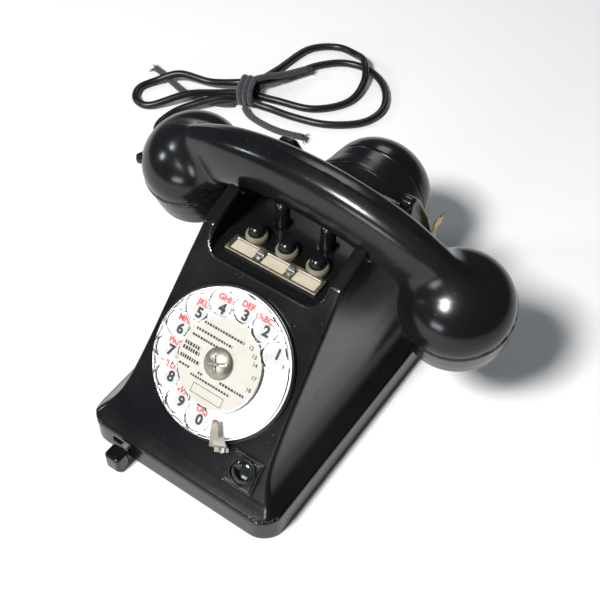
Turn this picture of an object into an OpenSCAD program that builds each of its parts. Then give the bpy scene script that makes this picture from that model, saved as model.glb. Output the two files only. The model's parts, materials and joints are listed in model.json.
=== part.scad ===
// Desk telephone in black moulded plastic: rotary dial, three line buttons,
// indicator window, side lever, extra earpiece and a tied line cord.
// +X is to the right of a person facing the dial, +Y to the back, +Z up.
// The origin is on the table, under the middle of the whole telephone.

/* [Housing] */
// Width of the base flange
base_w = 120; // [116:0.5:124]
// Y of the front edge of the base flange
base_front = -101; // [-102:0.5:-100]
// Y of the rear edge of the base flange
base_rear = 94; // [92:0.5:96]
// Tilt of the front face from the table
face_tilt = 46.5; // [46:0.1:47]
// Height of the face plane 100 mm in front of the middle
face_z = 13.56; // [13:0.02:14]
// Thickness of the moulded wall
wall_t = 3; // [2.5:0.1:3.5]
// Height of the floor that carries the buttons
floor_z = 92; // [91:0.1:93]

/* [Dial] */
// Distance up the face from its lower edge to the dial centre
dial_s = 63.6; // [63:0.1:65]
// Radius of the white number plate
dial_r = 38.2; // [38:0.1:38.4]
// Radius of a finger hole
finger_r = 6.6; // [6:0.05:6.7]
// Radius of the circle of finger holes
finger_pcr = 30.4; // [30:0.1:30.5]
// Angle between finger holes
finger_pitch = 26.3; // [26.1:0.1:26.8]
// Angle of the hole of digit 1 from the right
finger_first = 34.5; // [30:0.5:38]

/* [Buttons] */
// Distance between button centres
button_pitch = 18.6; // [18:0.1:19]
// Radius of a button
button_r = 4.1; // [3.8:0.05:4.12]
// Travel of a button
button_travel = 3.5; // [3:0.1:3.5]

/* [Handset] */
// Distance of each cup centre from the middle
cup_x = 84.4; // [84:0.1:84.6]
// Radius of the lip of a cup
cup_r = 29.4; // [29:0.1:29.6]
// Height of a cup's dome above its lip plane
cup_h = 25.5; // [25:0.5:27]
// Depth of a screwed cap below the lip
cap_h = 21.5; // [21:0.1:22]
// Outward lean of a cup's axis
cup_lean = 5; // [4:0.5:6]
// Forward roll of the cups against the handle
cup_roll = 8; // [7:0.5:9]
// Forward roll of the handset in its cradle
handset_roll = 10; // [9.5:0.1:10.5]
// Turn of the handset in its cradle, seen from above
handset_yaw = -1.8; // [-2:0.1:0]

/* [Earpiece] */
// Radius of the extra earpiece at its cap joint
ear_r = 33.3; // [32:0.1:33.4]
// Length of the earpiece's dome
ear_dome = 27.4; // [26:0.1:27.4]

/* [Cord] */
// Diameter of the line cord
cord_d = 5; // [4.5:0.1:5.2]
// Diameter of the braided tie
tie_d = 4.5; // [4:0.1:4.6]

/* [Hidden] */
$fn = 64;
foot_h = 1.6;
skirt_z = 0.3;
face_y = -100;
half_w = base_w / 2;
edge_gap = 0.3;
run_gap = 0.08;
cheek_in = 35.5;
niche_in = 34.4;
niche_y = 50;
niche_z = 24;
corner_r = 14;
button_y = -1.8;
plunger_x = 14;
plunger_y = 14;
plunger_r = 4;
plunger_top = 107.9;
hand_pos = [0, 26.3, 85.1];
ear_pos = [0, 68.6, 65.9];
ear_tilt = 4;
ear_band = 16.1;
ear_band_r = 30.8;
window_pos = [33.6, 20.6];
lever_pos = [-33.2, -66];
gland_pos = [-46, 94, 8];
knot_pos = [-156, 170, 0];
knot_turn = 22;
gear_module = 0.8;
gear_teeth = 50;
pinion_teeth = 10;
gear_dist = gear_module * (gear_teeth + pinion_teeth) / 2 + 0.3;

// Height of the face plane at a given y
function face_at(y) = face_z + (y - face_y) * tan(face_tilt);

// Points of an arc in a plane
function arc(cx, cy, r, a0, a1, n) =
    [for (i = [0:n]) [cx + r * cos(a0 + (a1 - a0) * i / n), cy + r * sin(a0 + (a1 - a0) * i / n)]];

// Points of a quarter ellipse from (a, z0) up to (0, z0 + b)
function quarter(a, b, z0, n) =
    [for (i = [0:n]) [a * cos(90 * i / n), z0 + b * sin(90 * i / n)]];

// Catmull-Rom point between b and c
function spline(a, b, c, d, t) =
    0.5 * ((2 * b) + (c - a) * t + (2 * a - 5 * b + 4 * c - d) * t * t
    + (3 * b - a - 3 * c + d) * t * t * t);

// Route with extra points between the given ones
function smooth(p, n) = concat(
    [for (i = [0:len(p) - 2], k = [0:n - 1])
        spline(p[max(i - 1, 0)], p[i], p[i + 1], p[min(i + 2, len(p) - 1)], k / n)],
    [p[len(p) - 1]]);

function unit(v) = v / norm(v);

// Moves its children to a place on the front face, z along the face's normal
module on_face(x, s, h = 0) {
    translate([0, face_y, face_z])
        rotate([face_tilt, 0, 0])
            translate([x, s, h])
                children();
}

module at_dial() {
    on_face(0, dial_s)
        children();
}

module in_handset() {
    translate(hand_pos)
        rotate([handset_roll, 0, handset_yaw])
            children();
}

// Frame of a cup, z up its axis; side is 1 for the right cup
module in_cup(side) {
    in_handset()
        translate([side * cup_x, 0, 0])
            rotate([cup_roll, 0, 0])
                rotate([0, side * cup_lean, 0])
                    children();
}

module in_earpiece() {
    translate(ear_pos)
        rotate([ear_tilt - 90, 0, 0])
            children();
}

// Rounded rectangle between two corners
module round_rect(x0, y0, x1, y1, r) {
    translate([x0 + r, y0])
        square([x1 - x0 - 2 * r, y1 - y0]);
    translate([x0, y0 + r])
        square([x1 - x0, y1 - y0 - 2 * r]);
    for (x = [x0 + r, x1 - r], y = [y0 + r, y1 - r])
        translate([x, y])
            circle(r);
}

module ring(r_out, r_in, z0, z1) {
    translate([0, 0, z0])
        difference() {
            cylinder(r = r_out, h = z1 - z0);
            translate([0, 0, -1])
                cylinder(r = r_in, h = z1 - z0 + 2);
        }
}

module disc(r, z0, z1) {
    translate([0, 0, z0])
        cylinder(r = r, h = z1 - z0);
}

module block(p0, p1) {
    translate(p0)
        cube(p1 - p0);
}

// Cheese-head screw, head above z = 0, shank below
module screw(head_r, head_h, shank_r, shank_l) {
    difference() {
        union() {
            cylinder(r = head_r, h = head_h);
            translate([0, 0, -shank_l])
                cylinder(r = shank_r, h = shank_l + 0.1);
        }
        translate([-head_r, -0.4, head_h * 0.5])
            cube([2 * head_r, 0.8, head_h]);
    }
}

// Tube of a round cord swept along a route
module tube(route, d, sides) {
    n = len(route);
    dirs = [for (i = [0:n - 1]) unit(route[min(i + 1, n - 1)] - route[max(i - 1, 0)])];
    rings = [for (i = [0:n - 1])
        let (u = unit(cross([0, 0, 1], dirs[i])), v = cross(dirs[i], u))
        [for (k = [0:sides - 1])
            route[i] + d / 2 * (cos(360 * k / sides) * u + sin(360 * k / sides) * v)]];
    points = [for (r = rings, q = r) q];
    caps = [[for (k = [0:sides - 1]) k], [for (k = [0:sides - 1]) n * sides - 1 - k]];
    walls = [for (i = [0:n - 2], k = [0:sides - 1])
        let (a = i * sides + k, b = i * sides + (k + 1) % sides)
        [a, a + sides, b + sides, b]];
    polyhedron(points, concat(walls, caps));
}

// Coil spring of round wire along z
module coil_spring(r, wire, z0, z1, turns) {
    steps = turns * 12;
    route = [for (i = [0:steps])
        [r * cos(30 * i), r * sin(30 * i), z0 + wire / 2 + (z1 - z0 - wire) * i / steps]];
    tube(route, wire, 6);
}

// Flat spur gear with straight-sided teeth
module gear(teeth, h) {
    pitch_r = gear_module * teeth / 2;
    step = 360 / teeth;
    tip_r = pitch_r + 0.7 * gear_module;
    root_r = pitch_r - 1.1 * gear_module;
    linear_extrude(h)
        polygon([for (i = [0:teeth - 1], q = [
            [root_r, -0.30], [tip_r, -0.13], [tip_r, 0.13], [root_r, 0.30]])
            [q[0] * cos((i + q[1]) * step), q[0] * sin((i + q[1]) * step)]]);
}

// ---------------------------------------------------------------- housing

// Side outline of the moulding, in y and z
function side_outline() = concat(
    [[base_front, skirt_z], [base_front + 0.5, 15.2], [base_front + 1, 16.4]],
    [[base_front + 2.1, 17.1], [-97, 18.1], [-94.6, 19.75], [-92.3, face_at(-92.3)]],
    [[-15.3, face_at(-15.3)], [6.2, 111.8]],
    [[7.9, 106], [10, 102.8], [14, 101.6], [43, 101.6], [46, 104.5], [47, 109.6]],
    [[49, 111], [52, 110.6], [57, 105.5], [61, 98], [66.5, 87.8], [75, 61], [80, 41]],
    [[83, 31], [86.4, 24.6], [89.6, 19.8], [base_rear - 1.4, 16.4]],
    [[base_rear - 0.7, 15.2], [base_rear, skirt_z]]);

// Half of the cross outline of the moulding, in x and z
function cross_half() = [
    [half_w, skirt_z], [half_w - 0.7, 15.2], [half_w - 1.3, 16.2],
    [half_w - 3.2, 18], [half_w - 5.6, 20.6], [half_w - 8.4, 23.8],
    [half_w - 10.8, 27.4], [half_w - 12.8, 31.6], [half_w - 14.1, 36.2],
    [half_w - 14.8, 41.5], [44.6, 50], [43.2, 75], [41.7, 103], [41.3, 116]];

function mirrored(p) = concat(p, [for (i = [len(p) - 1:-1:0]) [-p[i][0], p[i][1]]]);

module extrude_x(w) {
    rotate([90, 0, 90])
        translate([0, 0, -w / 2])
            linear_extrude(w)
                children();
}

module extrude_y(y0, y1) {
    translate([0, y1, 0])
        rotate([90, 0, 0])
            linear_extrude(y1 - y0)
                children();
}

module housing_outer() {
    intersection() {
        extrude_x(base_w + 2)
            polygon(side_outline());
        extrude_y(base_front - 1, base_rear + 1)
            polygon(mirrored(cross_half()));
        linear_extrude(120)
            round_rect(-half_w, base_front, half_w, base_rear, corner_r);
    }
}

module housing_inner() {
    drop = wall_t / cos(face_tilt);
    roof = floor_z - wall_t;
    front = base_front + wall_t + 0.4;
    intersection() {
        extrude_x(base_w)
            polygon([[front, 0], [front, face_at(front) - drop],
                [face_y + (roof + drop - face_z) / tan(face_tilt), roof],
                [niche_y - wall_t, roof], [niche_y - wall_t, niche_z - wall_t],
                [84, niche_z - wall_t], [base_rear - wall_t - 0.4, 11],
                [base_rear - wall_t - 0.4, 0]]);
        extrude_y(base_front, base_rear)
            polygon(mirrored([[half_w - 3.4, 0], [half_w - 3.6, 10.8], [half_w - 9.6, 18.5],
                [half_w - 15, 27], [half_w - 17.6, 36], [41.4, 50], [38.6, floor_z + 1]]));
        linear_extrude(120)
            round_rect(-half_w + 3.4, front, half_w - 3.4, base_rear - wall_t - 0.4, corner_r - 3);
    }
}

// Places of the four screws that hold the base plate
base_screw_at = [for (x = [-46, 46], y = [-70, 70]) [x, y]];

module housing() {
    color("#17181b")
        difference() {
            union() {
                difference() {
                    housing_outer();
                    housing_inner();
                }
                for (p = base_screw_at)
                    translate([p[0], p[1], 3.4])
                        cylinder(r = 4.5, h = 19);
            }
            // recess between the cheeks and the open space between the rear prongs
            translate([0, 0, floor_z])
                linear_extrude(40)
                    round_rect(-cheek_in, -24.3, cheek_in, 46, 4);
            translate([-niche_in, 45, 105.5])
                cube([2 * niche_in, 20, 20]);
            translate([-niche_in, niche_y, niche_z])
                cube([2 * niche_in, 60, 100]);
            at_dial()
                translate([0, 0, -12])
                    cylinder(r = 38.05, h = 30);
            on_face(window_pos[0], window_pos[1], -12)
                cylinder(r = 8.3, h = 20);
            for (i = [-1:1])
                translate([i * button_pitch, button_y, floor_z - 6])
                    cylinder(r = 5.25, h = 8);
            for (x = [-plunger_x, plunger_x])
                translate([x, plunger_y, floor_z - 6])
                    cylinder(r = plunger_r + run_gap, h = 8);
            for (x = [-button_pitch / 2, button_pitch / 2])
                translate([x, -12, floor_z - 6])
                    cylinder(r = 1.3, h = 8);
            block([-41.6, base_front - 1, 7.2], [-29.6, base_front + 6, 11.9]);
            translate([gland_pos[0], base_rear - 8, gland_pos[2]])
                rotate([-90, 0, 0])
                    cylinder(r = 4.6, h = 12);
            for (p = base_screw_at)
                translate([p[0], p[1], 3])
                    cylinder(r = 1.3, h = 9);
            translate([38, 70, 61])
                rotate([0, 90, 0])
                    cylinder(r = 1.3, h = 12);
        }
}

module base_plate() {
    color("#8d8f92")
        difference() {
            union() {
                translate([0, 0, foot_h])
                    linear_extrude(1.6)
                        round_rect(-half_w + 3.8, base_front + 3.8, half_w - 3.8, base_rear - 3.8, 10);
                translate([lever_pos[0], lever_pos[1], 3])
                    cylinder(r = 2, h = 9);
            }
            for (p = base_screw_at)
                translate([p[0], p[1], 0])
                    cylinder(r = 1.7, h = 5);
        }
}

module rubber_feet() {
    color("#202020")
        for (x = [-44, 44], y = [-82, 82])
            translate([x, y, 0])
                cylinder(r = 7.5, h = foot_h);
}

module base_screws() {
    color("#b9bcc0")
        for (p = base_screw_at)
            translate([p[0], p[1], foot_h])
                mirror([0, 0, 1])
                    difference() {
                        union() {
                            cylinder(r = 2.8, h = 1.2);
                            translate([0, 0, -9])
                                cylinder(r = 1.2, h = 9.1);
                        }
                        block([-2.8, -0.4, 0.7], [2.8, 0.4, 2]);
                    }
}

// ------------------------------------------------------------------- dial

module dial_bezel() {
    color("#101113")
        at_dial()
            ring(dial_r + 1.9, dial_r + 0.15, 0.02, 2.4);
}

module number_plate() {
    color("#f2f2ee")
        at_dial()
            ring(dial_r, 4.5, 0.9, 1.7);
}

module dial_case() {
    color("#a8a9ab")
        at_dial()
            difference() {
                union() {
                    ring(37.8, 36.3, -25, 0.85);
                    ring(37.5, 5, -26.5, -25);
                    ring(37.5, 2.56, -5.5, -4);
                    ring(5, 2.56, -4.1, 0.6);
                    ring(8, 6.9, -22, -14);
                }
                translate([gear_dist, 0, -30])
                    cylinder(r = 1.06, h = 30);
                for (a = [120, 240])
                    rotate(a)
                        translate([24, 0, -30])
                            cylinder(r = 5, h = 27);
            }
}

module finger_stop() {
    color("#a79c86")
        at_dial()
            difference() {
                union() {
                    // foot on the face, rising plate and the hooked tongue over the wheel
                    rotate(-64)
                        block([40.3, -4.2, 0.03], [44.6, 4.2, 1]);
                    rotate(-64)
                        block([40.3, -4.2, 0.03], [41.3, 4.2, 8.4]);
                    rotate(-64)
                        block([27, -2.2, 7.4], [41, 2.2, 8.4]);
                }
                rotate(-64)
                    translate([42.9, 0, -1])
                        cylinder(r = 1, h = 10);
            }
}

module dial_shaft() {
    color("#c9c4b4")
        at_dial() {
            disc(2.5, -24.5, 4);
            ring(5.2, 2.5, 1.9, 2.9);
        }
}

module finger_wheel() {
    color("#dfe6ea", 0.5)
        at_dial()
            difference() {
                union() {
                    ring(38, 2.5, 2.95, 4.6);
                    ring(38, 37.2, 4.5, 5.6);
                    ring(25, 23.4, 4.5, 5.5);
                }
                for (i = [0:9])
                    rotate(finger_first + i * finger_pitch)
                        translate([finger_pcr, 0, 2])
                            cylinder(r = finger_r, h = 5);
            }
}

module centre_card() {
    color("#efe8d2")
        at_dial()
            ring(23.3, 2.6, 4.62, 4.9);
}

module centre_cap() {
    color("#a9a79d")
        at_dial()
            difference() {
                union() {
                    rotate_extrude()
                        polygon(concat([[0, 4.92], [8.25, 4.92]], quarter(8.25, 3.1, 5.5, 8)));
                    disc(2.4, 4.1, 5);
                }
                for (a = [25, 115])
                    rotate(a)
                        block([-8, -0.5, 7.9], [8, 0.5, 9]);
            }
}

module main_gear() {
    color("#c8a24a")
        at_dial()
            translate([0, 0, -11])
                difference() {
                    gear(gear_teeth, 2);
                    translate([0, 0, -1])
                        cylinder(r = 2.5, h = 4);
                    for (a = [0:60:300])
                        rotate(a)
                            translate([11, 0, -1])
                                cylinder(r = 3.6, h = 4);
                }
}

module governor_pinion() {
    color("#d3b45c")
        at_dial()
            translate([gear_dist, 0, 0])
                rotate(180 + 180 / pinion_teeth) {
                    translate([0, 0, -11.5])
                        gear(pinion_teeth, 3);
                    disc(1, -24.9, -4.4);
                    disc(6, -20, -15);
                }
}

module main_spring() {
    turns = 4;
    n = turns * 18;
    color("#7d8794")
        at_dial()
            translate([0, 0, -20])
                linear_extrude(5)
                    polygon(concat(
                        [for (i = [0:n]) (3.3 + 3.2 * i / n) * [cos(20 * i), sin(20 * i)]],
                        [for (i = [n:-1:0]) (2.95 + 3.2 * i / n) * [cos(20 * i), sin(20 * i)]]));
}

module pulse_contacts() {
    color("#c9b27a")
        at_dial()
            for (i = [0:2])
                block([-21.8, 16 + 2.4 * i, -20], [2, 16.4 + 2.4 * i, -15]);
    color("#3a2f28")
        at_dial()
            difference() {
                block([-27, 14.5, -20.5], [-21.9, 22.8, -14.5]);
                translate([-24.5, 18.6, -21])
                    cylinder(r = 1.2, h = 8);
            }
}

// ------------------------------------------------- label strip and buttons

label_y0 = -17.4;
label_y1 = -6.5;

module label_frame() {
    color("#a79f8c")
        difference() {
            block([-27.7, label_y0, floor_z + 0.02], [27.7, label_y1, floor_z + 1.7]);
            for (i = [-1:1]) {
                block([i * button_pitch - 6.8, label_y0 + 2.2, floor_z - 1],
                    [i * button_pitch + 6.8, label_y1 - 2.6, floor_z + 3]);
                block([i * button_pitch - 7.4, label_y0 + 1.5, floor_z - 1],
                    [i * button_pitch + 7.4, label_y1 - 2, floor_z + 0.9]);
            }
            for (x = [-button_pitch / 2, button_pitch / 2])
                translate([x, -12, floor_z - 1])
                    cylinder(r = 1.3, h = 4);
            for (i = [-1:1])
                translate([i * button_pitch, button_y, floor_z - 1])
                    cylinder(r = 6.1, h = 4);
        }
}

module label_cards() {
    color("#f1e6c4")
        for (i = [-1:1])
            block([i * button_pitch - 7.2, label_y0 + 1.7, floor_z + 0.03],
                [i * button_pitch + 7.2, label_y1 - 2.1, floor_z + 0.8]);
}

module small_screws() {
    color("#c4c6c8") {
        for (x = [-button_pitch / 2, button_pitch / 2])
            translate([x, -12, floor_z + 1.72])
                screw(2.2, 1.1, 1.2, 6);
        translate([45.45, 70, 61])
            rotate([0, 90, 0])
                screw(2.2, 1.1, 1.2, 6);
        for (i = [0:5])
            translate([-24 + 9.6 * i, 66, 13.2])
                screw(2.2, 1.1, 1.2, 6);
    }
}

module button_collars() {
    color("#cdbf9c")
        for (i = [-1:1])
            translate([i * button_pitch, button_y, 0])
                difference() {
                    union() {
                        disc(6, floor_z + 0.02, floor_z + 3.2);
                        disc(5.4, floor_z + 3, floor_z + 4);
                        disc(5.2, floor_z - 6, floor_z + 0.1);
                    }
                    disc(button_r + run_gap, floor_z - 8, floor_z + 6);
                }
}

module push_button(i) {
    color("#0d0d0f")
        translate([i * button_pitch, button_y, 0])
            rotate_extrude()
                polygon(concat([[0, 68], [1.9, 68], [1.9, 80], [button_r, 80]],
                    quarter(button_r, 2.4, 98.4, 6)));
}

module push_button_1() {
    push_button(-1);
}

module push_button_2() {
    push_button(0);
}

module push_button_3() {
    push_button(1);
}

module button_spring(i) {
    color("#9aa0a6")
        translate([i * button_pitch, button_y, 0])
            coil_spring(2.9, 0.6, 66.05, 79.95, 5);
}

module button_spring_1() {
    button_spring(-1);
}

module button_spring_2() {
    button_spring(0);
}

module button_spring_3() {
    button_spring(1);
}

module switch_bracket() {
    color("#9b9c9e")
        difference() {
            union() {
                block([-31, -8, 48], [31, 24, 50]);
                for (x = [-32.5, 31])
                    block([x, -8, 48], [x + 1.5, 24, floor_z - wall_t - 0.05]);
            }
            for (x = [-22, 22], y = [16])
                translate([x, y, 47])
                    cylinder(r = 1.6, h = 4);
        }
}

module button_switch() {
    color("#4a3425")
        difference() {
            block([-26, -8, 50.02], [26, 4.5, 66]);
            for (i = [-1:1])
                translate([i * button_pitch, button_y, 60])
                    cylinder(r = 2.3, h = 8);
        }
}

module hook_plungers() {
    color("#2b2b2e")
        union() {
            for (x = [-plunger_x, plunger_x])
                translate([x, plunger_y, 0])
                    rotate_extrude()
                        polygon(concat([[0, 72], [plunger_r, 72]],
                            quarter(plunger_r, 3, plunger_top - 3, 6)));
            block([-20, 10.5, 68], [20, 17.5, 73]);
        }
}

module hook_contacts() {
    color("#c9b27a")
        for (i = [0:3])
            block([-9 + 5 * i, 9, 56 + 2.6 * i], [-5.6 + 5 * i, 20, 56.5 + 2.6 * i]);
    color("#3a2f28")
        block([-12, 20, 50.02], [12, 23.5, 67]);
}

// ------------------------------------------------------ indicator window

module indicator_plate() {
    color("#131417")
        on_face(window_pos[0], window_pos[1])
            difference() {
                linear_extrude(0.9)
                    round_rect(-9.3, -9.3, 9.3, 9.3, 1);
                translate([0, 0, -1])
                    cylinder(r = 6.6, h = 4);
            }
}

module indicator_ring() {
    color("#1b1c1f")
        on_face(window_pos[0], window_pos[1])
            ring(7.7, 6.62, 0.92, 2.2);
}

module indicator_lens() {
    color("#8f9696", 0.5)
        on_face(window_pos[0], window_pos[1])
            rotate_extrude()
                polygon(concat([[0, 0.2], [6.5, 0.2]], quarter(6.5, 2, 0.8, 8)));
}

module indicator_case() {
    color("#8b8478")
        on_face(window_pos[0], window_pos[1]) {
            difference() {
                disc(8.2, -18, -0.05);
                disc(6.9, -14, 1);
            }
            ring(6.9, 6, -3, -2);
        }
}

module indicator_flag() {
    color("#e9e4d6")
        on_face(window_pos[0], window_pos[1], -4.5)
            translate([0, 3.4, 0])
                union() {
                    block([-3.2, -7, -0.5], [3.2, -0.2, 0.1]);
                    rotate([0, 90, 0])
                        translate([0, 0, -5.4])
                            cylinder(r = 0.6, h = 10.8);
                }
}

// ------------------------------------------------------------ side lever

module lever_arm() {
    color("#9c9c98")
        difference() {
            union() {
                block([lever_pos[0] - 1.7, face_y - 6, 8], [lever_pos[0] + 1.7, lever_pos[1], 10.4]);
                translate([lever_pos[0], lever_pos[1], 8])
                    cylinder(r = 4, h = 2.4);
            }
            translate([lever_pos[0], lever_pos[1], 7])
                cylinder(r = 2.06, h = 5);
        }
}

module lever_knob() {
    color("#1a1b1e")
        difference() {
            translate([0, 0, 1.2])
                linear_extrude(11.8)
                    round_rect(lever_pos[0] - 4.9, face_y - 12, lever_pos[0] + 4.9, face_y - 3.3, 2.4);
            block([lever_pos[0] - 1.72, face_y - 6.02, 7.98],
                [lever_pos[0] + 1.72, face_y, 10.42]);
        }
}

// ---------------------------------------------------------------- ringer

gong_x = 21.5;
gong_y = 24;

module ringer_frame() {
    color("#8f9194")
        union() {
            block([-12, -34, 3.25], [12, 24, 4.6]);
            block([-42, 18, 3.25], [42, 30, 4.6]);
            block([-12, -34, 4.5], [12, -32, 26]);
            for (x = [-gong_x, gong_x])
                translate([x, gong_y, 4.5]) {
                    cylinder(r = 2.6, h = 13.05);
                    cylinder(r = 1.5, h = 16);
                    translate([0, 0, 14.6])
                        cylinder(r = 3.2, h = 2);
                }
            translate([0, 2, 4.5])
                cylinder(r = 1.5, h = 17);
        }
}

module ringer_gongs() {
    color("#c9c9c4")
        for (x = [-gong_x, gong_x])
            translate([x, gong_y, 0])
                difference() {
                    rotate_extrude()
                        polygon(concat([[1.6, 17.6], [1.6, 19.1], [6, 19.1]],
                            arc(11, 12.1, 7, 90, 0, 6), [[18, 9], [17, 9]],
                            arc(11, 11.6, 6, 0, 90, 6)));
                    disc(1.6, 0, 30);
                }
}

module ringer_coils() {
    color("#7a4a2c")
        for (x = [-6.6, 6.6])
            translate([x, -31.9, 16])
                rotate([-90, 0, 0]) {
                    cylinder(r = 5.2, h = 24);
                    cylinder(r = 6, h = 1.4);
                    translate([0, 0, 22.6])
                        cylinder(r = 6, h = 1.4);
                }
}

module ringer_hammer() {
    color("#b8a05a")
        difference() {
            union() {
                block([-11, -2.6, 14.5], [11, 0.4, 18]);
                block([-0.8, 0, 15.2], [0.8, 25, 16.8]);
                translate([0, 2, 14.5])
                    cylinder(r = 3.2, h = 3.5);
                translate([0, 26, 13.2])
                    cylinder(r = 2, h = 5);
            }
            translate([0, 2, 10])
                cylinder(r = 1.56, h = 20);
        }
}

// --------------------------------------------------------- other internals

module induction_coil() {
    color("#5d3a22")
        translate([-22, -44, 14.4])
            rotate([0, 90, 0]) {
                cylinder(r = 8.4, h = 44);
                cylinder(r = 11, h = 2);
                translate([0, 0, 42])
                    cylinder(r = 11, h = 2);
            }
}

module capacitor() {
    color("#a9aaa6")
        translate([0, 0, 3.25])
            linear_extrude(13)
                round_rect(-22, -92, 18, -73, 2);
}

module terminal_block() {
    color("#2f2620")
        difference() {
            block([-30, 58, 3.25], [30, 74, 13.15]);
            for (i = [0:5])
                translate([-24 + 9.6 * i, 66, 6])
                    cylinder(r = 1.3, h = 9);
        }
}

module hook_strip() {
    path = [[44.65, 52], [43.75, 68], [44.6, 75], [46.2, 81], [46.6, 86], [48.4, 90]];
    color("#a5814a")
        difference() {
            extrude_y(65, 73.5)
                polygon(concat(path, [for (i = [len(path) - 1:-1:0]) path[i] + [1.2, 0]]));
            translate([40, 70, 61])
                rotate([0, 90, 0])
                    cylinder(r = 1.3, h = 12);
        }
}

// ----------------------------------------------------------------- handset

// Height of the sharp upper edge of the handle, and of its underside
function handle_top(x) = -24.5 + 77.7 * sqrt(1 - pow(x / 117.6, 2));
function handle_low(x) = max(3.2, 25.1 - 0.0035 * x * x - 3.6e-7 * pow(x, 4));
function handle_half(x) = 13.5 - 0.0009 * pow(max(abs(x) - 50, 0), 2) * 3.2;

function handle_section(x) =
    let (t = handle_top(x), b = min(handle_low(x), t - 12), w = handle_half(x), d = t - b)
    [[0, t], [-0.5 * w, t - 0.11 * d], [-0.84 * w, t - 0.36 * d], [-w, t - 0.66 * d],
    [-0.93 * w, b + 0.15 * d], [-0.55 * w, b + 0.03 * d], [0, b], [0.55 * w, b + 0.03 * d],
    [0.93 * w, b + 0.15 * d], [w, t - 0.66 * d], [0.84 * w, t - 0.36 * d],
    [0.5 * w, t - 0.11 * d]];

module handle() {
    stations = [for (i = [-12:12]) 102 * sin(7.5 * i)];
    sides = 12;
    n = len(stations);
    points = [for (x = stations, q = handle_section(x)) [x, q[0], q[1]]];
    walls = [for (i = [0:n - 2], k = [0:sides - 1])
        let (a = i * sides + k, b = i * sides + (k + 1) % sides)
        [a, a + sides, b + sides, b]];
    caps = [[for (k = [0:sides - 1]) k], [for (k = [0:sides - 1]) n * sides - 1 - k]];
    polyhedron(points, concat(walls, caps));
}

module handset_shell() {
    color("#15161a")
        difference() {
            union() {
                in_handset()
                    handle();
                for (side = [-1, 1])
                    in_cup(side)
                        rotate_extrude()
                            polygon(concat([[0, 0], [cup_r, 0], [cup_r, 1.4], [cup_r - 0.5, 2.6]],
                                quarter(cup_r - 0.7, cup_h - 4, 4, 10)));
            }
            for (side = [-1, 1])
                in_cup(side)
                    rotate_extrude()
                        polygon(concat([[0, -1], [cup_r - 3.6, -1]],
                            quarter(cup_r - 3.6, cup_h - 8, 4, 8)));
            in_cup(-1)
                translate([0, 0, 6.5])
                    rotate([0, -90, 30])
                        cylinder(r = 3.1, h = 40);
        }
}

// Screwed cap with a dished and pierced face
module cup_cap(side, holes) {
    in_cup(side)
        difference() {
            rotate_extrude()
                polygon(concat([[0, -18.4], [14, -19.1], [20, -cap_h + 0.3], [22, -cap_h]],
                    arc(25.6, 3 - cap_h, 3, -90, -8, 5), [[cup_r - 0.5, -0.05], [25.6, -0.05]],
                    [[25.6, 3.4], [24.2, 3.4], [24.2, -16.2], [0, -15.8]]));
            for (k = [0:holes - 1])
                rotate(k * 360 / holes)
                    translate([8, 0, -20])
                        cylinder(r = 1.5, h = 20);
            translate([0, 0, -20])
                cylinder(r = 1.5, h = 20);
        }
}

module receiver_cap() {
    color("#1a1b1e")
        cup_cap(1, 6);
}

module transmitter_cap() {
    color("#1a1b1e")
        cup_cap(-1, 8);
}

module handset_capsules() {
    color("#b6b2a6")
        for (side = [-1, 1])
            in_cup(side) {
                disc(23.6, -14.8, 1);
                disc(15, 0.9, 5);
            }
}

module cord_boss() {
    color("#2a2a2c")
        in_cup(-1)
            translate([0, 0, 6.5])
                rotate([0, -90, 30])
                    translate([0, 0, 21])
                        rotate_extrude()
                            polygon([[1.6, 0], [3, 0], [3, 6.4], [3.9, 6.6], [2.8, 10], [1.6, 10]]);
}

// ----------------------------------------------------------- extra earpiece

module earpiece_cap() {
    color("#141518")
        in_earpiece()
            difference() {
                rotate_extrude()
                    polygon([[0, -14], [12, -14.6], [19, -16.1], [22, -16.4], [25.5, -15.4],
                        [28.8, -12.8], [31.3, -8], [32.7, -4], [ear_r, -0.03], [27, -0.03],
                        [27, -9], [0, -10]]);
                for (k = [0:5])
                    rotate(k * 60)
                        translate([7, 0, -20])
                            cylinder(r = 1.4, h = 12);
            }
}

module earpiece_band() {
    color("#141518")
        in_earpiece()
            rotate_extrude()
                polygon([[27.5, 0], [ear_r, 0], [ear_r, 1], [ear_band_r + 0.4, ear_band - 0.6],
                    [ear_band_r + 0.4, ear_band - 0.03], [27.5, ear_band - 0.03]]);
}

module earpiece_shell() {
    color("#141518")
        in_earpiece()
            rotate_extrude()
                polygon(concat([[27.2, ear_band], [ear_band_r, ear_band]],
                    quarter(ear_band_r, ear_dome - 1, ear_band + 1, 12),
                    [for (i = [8:-1:0]) [27.2 * cos(90 * i / 8), ear_band + 1 + 22 * sin(90 * i / 8)]]));
}

module earpiece_capsule() {
    color("#b6b2a6")
        in_earpiece() {
            disc(26.8, -8.5, 5);
            disc(14, 4.9, 22);
        }
}

// --------------------------------------------------------------------- cord

module cord_gland() {
    color("#1f1f20")
        translate(gland_pos)
            rotate([-90, 0, 0])
                rotate_extrude()
                    polygon([[2.6, -4], [4.5, -4], [4.5, 0.05], [5.6, 0.1], [5.4, 1.4], [3.6, 2.6],
                        [2.6, 2.6]]);
}

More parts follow.
